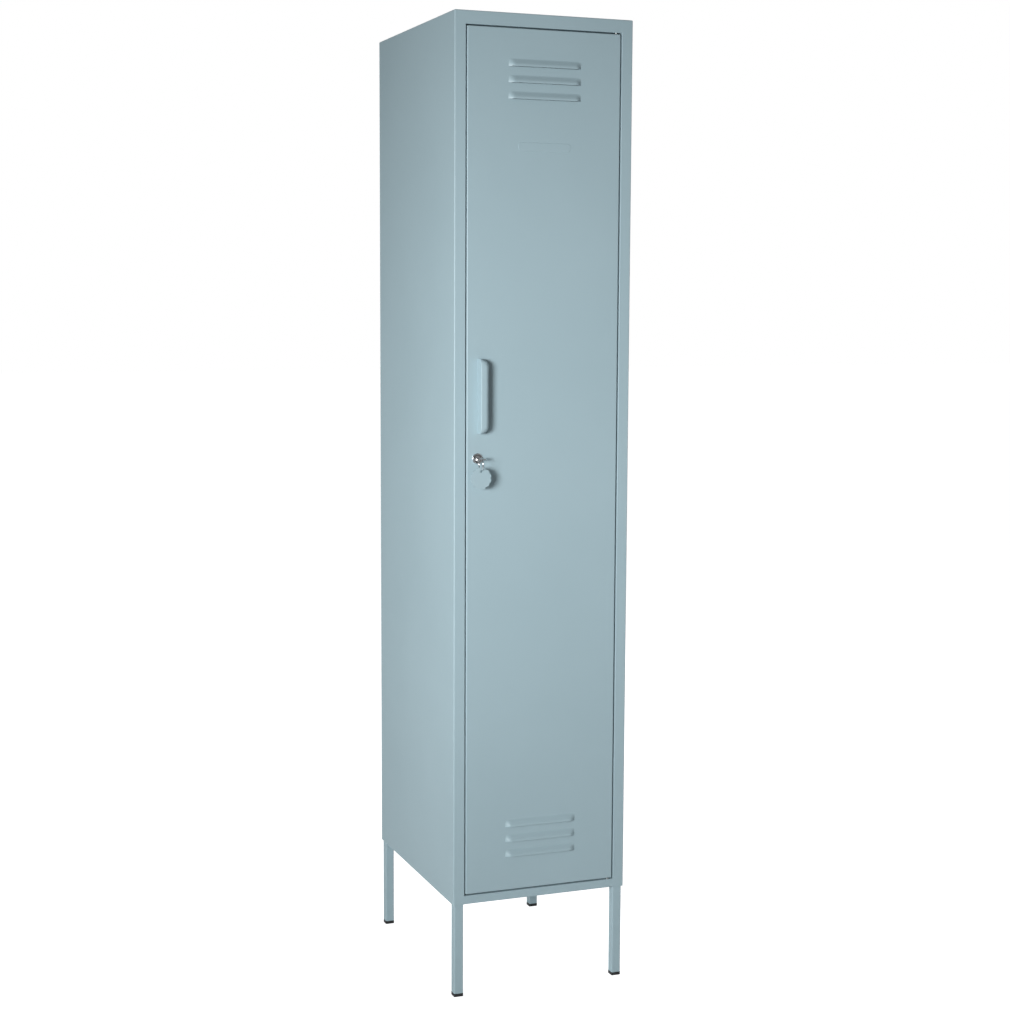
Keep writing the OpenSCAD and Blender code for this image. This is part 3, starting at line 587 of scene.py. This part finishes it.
def hood():
    """One hood, with the middle of its lower edge at the origin."""
    rows, columns = len(ROW_DEPTHS) - 1, HOOD_COLUMNS
    bpy.ops.mesh.primitive_grid_add(x_subdivisions=columns, y_subdivisions=rows, size=1,
                                    rotation=(math.pi / 2, 0, 0))
    piece = settle(bpy.context.object)
    pick(piece, "VERT", lambda m, n: True)
    bpy.ops.transform.resize(value=(HOOD_W, 1, HOOD_H), center_override=(0, 0, 0))
    bpy.ops.transform.translate(value=(0, 0, HOOD_H / 2))
    leave()
    for row, depth in enumerate(ROW_DEPTHS):
        pick(piece, "VERT", lambda m, n: near(m.z, row * HOOD_H / rows))
        bpy.ops.transform.translate(value=(0, -depth * MM, 0))
        leave()
    for step, factor in enumerate(END_FACTORS):
        pick(piece, "VERT", lambda m, n: near(abs(m.x), HOOD_W / 2 - step * HOOD_W / columns))
        bpy.ops.transform.resize(value=(1, factor, 1), center_override=(0, 0, 0))
        leave()
    return modify(piece, "SOLIDIFY", thickness=SHEET, offset=-1.0)


def hood_heights():
    upper = [door_z1 - MARGIN_TOP - HOOD_H - i * HOOD_PITCH for i in range(HOODS)]
    lower = [door_z0 + MARGIN_LOW + i * HOOD_PITCH for i in range(HOODS)]
    return upper + lower


def slot_cutter(z):
    """The slot's space, a little smaller than the hood so that the hood's rim hides its edge."""
    half = HOOD_W / 2 - SLOT_END
    cutter = block("slot", (-half, front_y - 2 * MM, z), (half, front_y + 3 * MM, z + HOOD_H - SLOT_TOP))
    fold_radius(cutter, lambda m, w: abs(w.y) > 0.9 and m.z > z + 2 * MM, SLOT_CORNER)
    return cutter


def placed_copy(pattern, place):
    """A copy with its own mesh, moved to its place."""
    copy = pattern.copy()
    copy.data = pattern.data.copy()
    copy.location = place
    bpy.context.scene.collection.objects.link(copy)
    return settle(copy)


pattern = hood()
for z in hood_heights():
    cut(door, slot_cutter(z))
hoods = [placed_copy(pattern, (0, front_y + 0.05 * MM, z)) for z in hood_heights()]
bpy.data.objects.remove(pattern)
print(len(hoods), "hoods at", [round(z, 3) for z in hood_heights()])

# %% [markdown]
# ## The raised pad and the lock's hole
# Below the upper louvres the face carries a small plain pad with round ends, pressed out by less
# than a millimetre. Two bevels make it: one turns the block's corners into half circles, and one
# softens its rim.

# %% Pad, lock hole, and the finished door
PAD_DROP = 211.3 * MM
LOCK_HOLE_R = 8.1 * MM


def raised_pad():
    z = door_z1 - PAD_DROP
    half_w, half_h, proud = 52 * MM, 8 * MM, 0.6 * MM
    pad = block("pad", (-half_w, front_y - proud, z - half_h), (half_w, front_y + 0.4 * MM, z + half_h))
    fold_radius(pad, lambda m, w: abs(w.y) > 0.9, half_h * 0.99, 12)
    fold_radius(pad, lambda m, w: near(m.y, front_y - proud, 0.05 * MM), proud * 0.9, 3)
    return pad


lock_low, lock_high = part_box("lock_plug")
lock_x = (lock_low.x + lock_high.x) / 2
lock_z = (lock_low.z + lock_high.z) / 2
cut(door, rod("lock_hole", (lock_x, front_y - 5 * MM, lock_z), (lock_x, front_y + 6 * MM, lock_z),
              LOCK_HOLE_R))
door = join("door_skin", [door, raised_pad()] + hoods)
finish_piece(door, "door_panel", "door", angle=30)

# %% [markdown]
# ## The cup handle
# The handle is a shell that is open towards the hinge side, where the fingers go in. Its free side
# stands straight up from the door and turns in a crisp ridge, its far corners are large arcs, and
# its front rolls over softly. It starts as a cube: three bevels make the arcs, the roll and the
# ridge, and deleting the back and the mouth before Solidify gives the shell.

# %% Handle
def handle():
    low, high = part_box("door_handle")
    corner, roll, ridge, wall = 15 * MM, 9 * MM, 1.2 * MM, 2 * MM
    shell = block("cup_handle", low, (high.x, front_y, high.z))
    fold_radius(shell, lambda m, w: abs(w.y) > 0.9 and near(m.x, high.x), corner, 14)
    fold_radius(shell, lambda m, w: near(m.y, low.y) and not near(m.x, low.x), roll, 8)
    fold_radius(shell, lambda m, w: near(m.x, low.x) and near(m.y, low.y), ridge, 4)
    mouth = lambda m: m.x > high.x - 0.6 * MM and low.z + corner < m.z < high.z - corner
    pick(shell, "FACE", lambda m, n: n.y > 0.9 or (n.x > 0.95 and mouth(m)))
    bpy.ops.mesh.delete(type="FACE")
    leave()
    modify(shell, "SOLIDIFY", thickness=wall, offset=-1.0, use_even_offset=False)
    round_edges(shell, 0.4 * MM, 2, 60)
    finish_piece(shell, "door_handle", "door", angle=40)


handle()

# %% [markdown]
# ## The lock's face
# A cam lock shows a turned, plated collar with a flat seat around the plug. Inset and extrude give
# the seat, and a bevel gives the collar's rounded rim, which is what catches the light. Collar and
# barrel are bored one at a time and joined afterwards, because a cut through two joined bodies that
# overlap can leave nothing.

# %% Lock housing
BARREL_R = 8 * MM
BORE_PLAY = 0.05 * MM
BORE_OVERRUN = 2 * MM
LOCK_SIDES = 64


def lock_housing():
    low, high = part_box("lock_housing")
    on_axis = lambda y: (lock_x, y, lock_z)
    rim, seat_edge, seat_depth = 1.1 * MM, 1.6 * MM, 0.4 * MM
    flange = rod("lock_face", on_axis(low.y), on_axis(front_y - 0.02 * MM), (high.x - low.x) / 2, LOCK_SIDES)
    fold_radius(flange, lambda m, w: near(m.y, low.y, 0.05 * MM), rim, 5)
    pick(flange, "FACE", lambda m, n: n.y < -0.99)
    bpy.ops.mesh.inset(thickness=seat_edge, depth=0)
    bpy.ops.mesh.extrude_region_move(TRANSFORM_OT_translate={"value": (0, seat_depth, 0)})
    leave()
    barrel = rod("lock_barrel", on_axis(front_y - 0.5 * MM), on_axis(high.y), BARREL_R, LOCK_SIDES)
    fold_radius(barrel, lambda m, w: near(m.y, high.y, 0.05 * MM), 0.5 * MM, 2)
    bore_r = (lock_high.x - lock_low.x) / 2 + BORE_PLAY
    for part in (flange, barrel):
        cut(part, rod("plug_bore", on_axis(low.y - BORE_OVERRUN), on_axis(high.y + BORE_OVERRUN),
                      bore_r, LOCK_SIDES))
    finish_piece(join("lock_housing_turned", [flange, barrel]), "lock_housing", "door", angle=40)


lock_housing()

# %% [markdown]
# ## The key ring
# A split ring is one wire wound twice round, so it shows two turns side by side. Two thin tori are
# enough at this size.

# %% Split ring
def split_ring():
    low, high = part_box("key_ring")
    middle = (low + high) / 2
    wire, apart = 0.47 * MM, 0.42 * MM
    turns = []
    for side in (-1, 1):
        bpy.ops.object.select_all(action="DESELECT")
        bpy.ops.mesh.primitive_torus_add(location=middle + Vector((side * apart, 0, 0)),
                                         rotation=(0, math.pi / 2, 0),
                                         major_radius=(high.z - low.z) / 2 - wire, minor_radius=wire,
                                         major_segments=72, minor_segments=14)
        turns.append(settle(bpy.context.object))
    finish_piece(join("split_ring", turns), "key_ring", "key_ring", angle=80)


split_ring()

# %% [markdown]
# ## Rivets
# A blind rivet leaves a small domed head. One dome is modelled: a sphere cut in half and flattened.
# It is then copied to every rivet, whose places are the same on both rear flanges.

# %% Rivet heads
def rivets():
    low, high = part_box("back_rivets")
    radius, proud, rows = 3.2 * MM, 1.2 * MM, 6
    bpy.ops.object.select_all(action="DESELECT")
    bpy.ops.mesh.primitive_uv_sphere_add(segments=20, ring_count=12, radius=1, rotation=(math.pi / 2, 0, 0))
    dome = settle(bpy.context.object)
    pick(dome, "FACE", lambda m, n: True)
    bpy.ops.mesh.bisect(plane_co=(0, 0, 0), plane_no=(0, 1, 0), clear_outer=True, use_fill=True)
    bpy.ops.mesh.select_all(action="SELECT")
    bpy.ops.transform.resize(value=(radius, proud, radius), center_override=(0, 0, 0))
    leave()
    first, last = low.z + radius, high.z - radius
    spots = [(side * (high.x - radius), low.y + proud, first + (last - first) * i / (rows - 1))
             for side in (-1, 1) for i in range(rows)]
    heads = [placed_copy(dome, spot) for spot in spots]
    bpy.data.objects.remove(dome)
    finish_piece(join("rivet_heads", heads), "back_rivets", "cabinet")


rivets()

# %% [markdown]
# ## Everything with softened edges
# The radius follows the process: a drawn tube has the largest, folded sheet and mouldings are in
# between, and turned or stamped metal is nearly sharp.

# %% Soften the remaining parts
for corner_name in ("front_left", "front_right", "rear_left", "rear_right"):
    softened("leg_" + corner_name, "cabinet", 1.6 * MM, 4)
    softened("foot_" + corner_name, "cabinet", 0.9 * MM, 3)
for node_name, width in (("hanging_rail", 0.5), ("rail_bracket_left", 0.6), ("rail_bracket_right", 0.6),
                         ("coat_hook_left", 0.5), ("coat_hook_right", 0.5), ("cable_grommet", 0.7),
                         ("catch_magnet", 0.6), ("door_bumpers", 0.4), ("leg_plates", 0.5),
                         ("leg_bolts", 0.4), ("leg_nuts", 0.4), ("upper_shelf_clips", 0.3),
                         ("lower_shelf_clips", 0.3)):
    softened(node_name, "cabinet", width * MM, 2)
softened("upper_shelf", "upper_shelf", 0.45 * MM)
softened("lower_shelf", "lower_shelf", 0.45 * MM)
softened("catch_strike", "door", 0.3 * MM, 2)
softened("handle_screws", "door", 0.4 * MM, 2)
softened("lock_plug", "lock_cylinder", 0.25 * MM, 2)
softened("lock_cam", "lock_cylinder", 0.4 * MM, 2)
softened("key", "key", 0.3 * MM, 3)
softened("key_tag", "key_tag", 0.5 * MM, 3, flatten=False)

# %% [markdown]
# ## The floor, the light and the camera
# The floor is one sheet of pale paper, and the wall behind is left to the world's white. A softbox
# stands to the left, a little above the handle, so every raised edge throws a soft shadow to the
# right. Little light comes from above, which keeps faces that lean up a little darker. Two more
# lamps help: one low on the left lifts the rear of the side panel, and one high behind on the right
# lights the back, the right side and the lid, which the first one cannot reach.

# %% Studio
FLOOR_GLOW = 0.10
FLOOR_SEEN = 0.9
ROOM_LEVEL = 0.26
ROOM_ABOVE = 0.08
ROOM_LEAN = 0.75


def paper_floor():
    bpy.ops.object.select_all(action="DESELECT")
    bpy.ops.mesh.primitive_plane_add(size=60)
    floor = bpy.context.object
    floor.name = "floor"
    material, nodes, links, shader = new_material("floor_paper")
    tone = span(nodes, links, noise(nodes, links, 2.0), 0.0, 1.0)
    paper = two_tone(nodes, links, tone, (0.84, 0.84, 0.84), (0.86, 0.86, 0.86))
    links.new(paper, shader.inputs["Base Color"])
    shader.inputs["Roughness"].default_value = 0.8
    shader.inputs["Specular IOR Level"].default_value = 0.0
    shader.inputs["Emission Color"].default_value = (1, 1, 1, 1)
    path, glow = nodes.new("ShaderNodeLightPath"), nodes.new("ShaderNodeMapRange")
    glow.inputs["To Min"].default_value = FLOOR_GLOW
    glow.inputs["To Max"].default_value = FLOOR_SEEN
    links.new(path.outputs["Is Camera Ray"], glow.inputs["Value"])
    links.new(glow.outputs["Result"], shader.inputs["Emission Strength"])
    floor.data.materials.append(material)


def softbox(name, place, target, width, height, power, spread=180):
    light = bpy.data.lights.new(name, "AREA")
    light.shape = "RECTANGLE"
    light.size = width
    light.size_y = height
    light.energy = power
    light.spread = math.radians(spread)
    lamp = bpy.data.objects.new(name, light)
    bpy.context.scene.collection.objects.link(lamp)
    way = Vector(target) - Vector(place)
    lamp.visible_camera = False
    lamp.matrix_world = Matrix.Translation(place) @ way.to_track_quat("-Z", "Y").to_matrix().to_4x4()


def room():
    """White to the camera. On the object a softer light, weakest from above and from the left."""
    world = bpy.data.worlds.new("studio")
    bpy.context.scene.world = world
    world.use_nodes = True
    nodes, links = world.node_tree.nodes, world.node_tree.links
    seen, lit = nodes["Background"], nodes.new("ShaderNodeBackground")
    seen.inputs["Color"].default_value = (1, 1, 1, 1)
    seen.inputs["Strength"].default_value = 1.0
    lit.inputs["Color"].default_value = (0.98, 0.99, 1, 1)
    place, axes = nodes.new("ShaderNodeTexCoord"), nodes.new("ShaderNodeSeparateXYZ")
    fall = nodes.new("ShaderNodeMapRange")
    links.new(place.outputs["Generated"], axes.inputs["Vector"])
    links.new(axes.outputs["Z"], fall.inputs["Value"])
    fall.inputs["From Min"].default_value = 0.0
    fall.inputs["From Max"].default_value = 1.0
    fall.inputs["To Min"].default_value = ROOM_LEVEL
    fall.inputs["To Max"].default_value = ROOM_ABOVE
    side, level = nodes.new("ShaderNodeMapRange"), nodes.new("ShaderNodeMath")
    side.inputs["From Min"].default_value = -1.0
    side.inputs["To Min"].default_value = 1 - ROOM_LEAN
    side.inputs["To Max"].default_value = 1 + ROOM_LEAN
    level.operation = "MULTIPLY"
    links.new(axes.outputs["X"], side.inputs["Value"])
    links.new(fall.outputs["Result"], level.inputs[0])
    links.new(side.outputs["Result"], level.inputs[1])
    links.new(level.outputs["Value"], lit.inputs["Strength"])
    path, mix = nodes.new("ShaderNodeLightPath"), nodes.new("ShaderNodeMixShader")
    links.new(path.outputs["Is Camera Ray"], mix.inputs["Fac"])
    links.new(lit.outputs["Background"], mix.inputs[1])
    links.new(seen.outputs["Background"], mix.inputs[2])
    links.new(mix.outputs["Shader"], nodes["World Output"].inputs["Surface"])


paper_floor()
room()
softbox("key_light", (-2.45, -2.45, 1.3), (0.0, -0.35, 1.03), 1.1, 0.8, 18.4, spread=64)
softbox("side_fill", (-2.6, 0.7, 0.3), (-0.2, 0.0, 0.45), 1.0, 0.5, 2.4, spread=80)
softbox("back_fill", (2.3, 2.3, 2.9), (0.1, 0.1, 1.0), 1.3, 1.3, 34)
bpy.context.scene.view_settings.view_transform = "Standard"

# %% Camera
EYE = Vector((-1.280, -3.3664, 1.313))
TURN = math.radians(-20.92)
TILT = math.radians(-6.37)
LEAN = math.radians(0.25)
lens = bpy.data.cameras.new("camera")
lens.lens = 65.2
lens.sensor_width = 36.0
camera = bpy.data.objects.new("camera", lens)
bpy.context.scene.collection.objects.link(camera)
camera.matrix_world = (Matrix.Translation(EYE) @ Matrix.Rotation(TURN, 4, "Z")
                       @ Matrix.Rotation(math.pi / 2 + TILT, 4, "X") @ Matrix.Rotation(LEAN, 4, "Z"))
bpy.context.scene.camera = camera

# %% End: count the pieces made
bpy.context.view_layer.update()
print(len(made), "pieces made")
